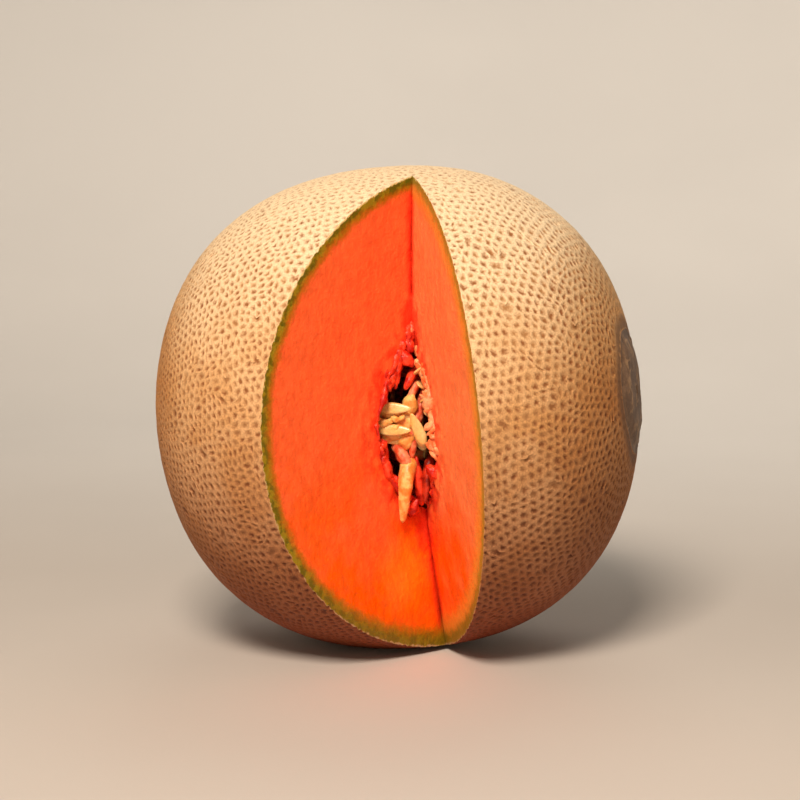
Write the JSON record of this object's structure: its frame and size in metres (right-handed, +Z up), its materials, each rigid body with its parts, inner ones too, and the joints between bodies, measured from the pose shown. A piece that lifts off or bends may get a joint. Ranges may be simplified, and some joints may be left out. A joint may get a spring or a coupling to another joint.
{
  "type": "netted melon with a wedge cut out",
  "caption": "Round netted melon lying on its side, with a wedge cut out that shows the orange flesh, the seed hollow and its seeds.",
  "frame": {"origin": "on the flat spot that the melon rests on, straight below the middle of the fruit", "axes": "+X along the melon's length towards the blossom end, -Y out of the cut wedge, +Z up"},
  "size_m": [0.1589, 0.1573, 0.1591],
  "materials": {
    "netted_rind": "matte",
    "seed_coat": "satin",
    "seed_pulp": "gloss"
  },
  "bodies": {
    "root": {"melon_body": "netted_rind", "pulp_cord_upper": "seed_pulp", "pulp_cord_lower": "seed_pulp", "pulp_strand_upper": "seed_pulp", "pulp_strand_hanging": "seed_pulp", "pulp_strand_right": "seed_pulp", "seed_01": "seed_coat", "seed_02": "seed_coat", "seed_03": "seed_coat", "seed_04": "seed_coat", "seed_05": "seed_coat", "seed_06": "seed_coat", "seed_07": "seed_coat", "seed_08": "seed_coat", "seed_09": "seed_coat", "seed_10": "seed_coat", "seed_11": "seed_coat", "seed_12": "seed_coat", "seed_13": "seed_coat", "seed_14": "seed_coat", "seed_15": "seed_coat", "seed_16": "seed_coat", "seed_17": "seed_coat", "seed_18": "seed_coat", "seed_19": "seed_coat", "seed_20": "seed_coat", "seed_21": "seed_coat", "seed_22": "seed_coat", "seed_23": "seed_coat", "seed_24": "seed_coat", "seed_25": "seed_coat", "seed_26": "seed_coat", "seed_27": "seed_coat", "seed_28": "seed_coat", "seed_29": "seed_coat", "seed_30": "seed_coat", "seed_31": "seed_coat", "seed_32": "seed_coat", "seed_33": "seed_coat", "seed_34": "seed_coat", "seed_35": "seed_coat", "seed_36": "seed_coat", "seed_37": "seed_coat", "seed_38": "seed_coat", "seed_39": "seed_coat", "seed_40": "seed_coat", "seed_41": "seed_coat", "seed_42": "seed_coat", "seed_43": "seed_coat", "seed_44": "seed_coat"}
  },
  "joints": []
}
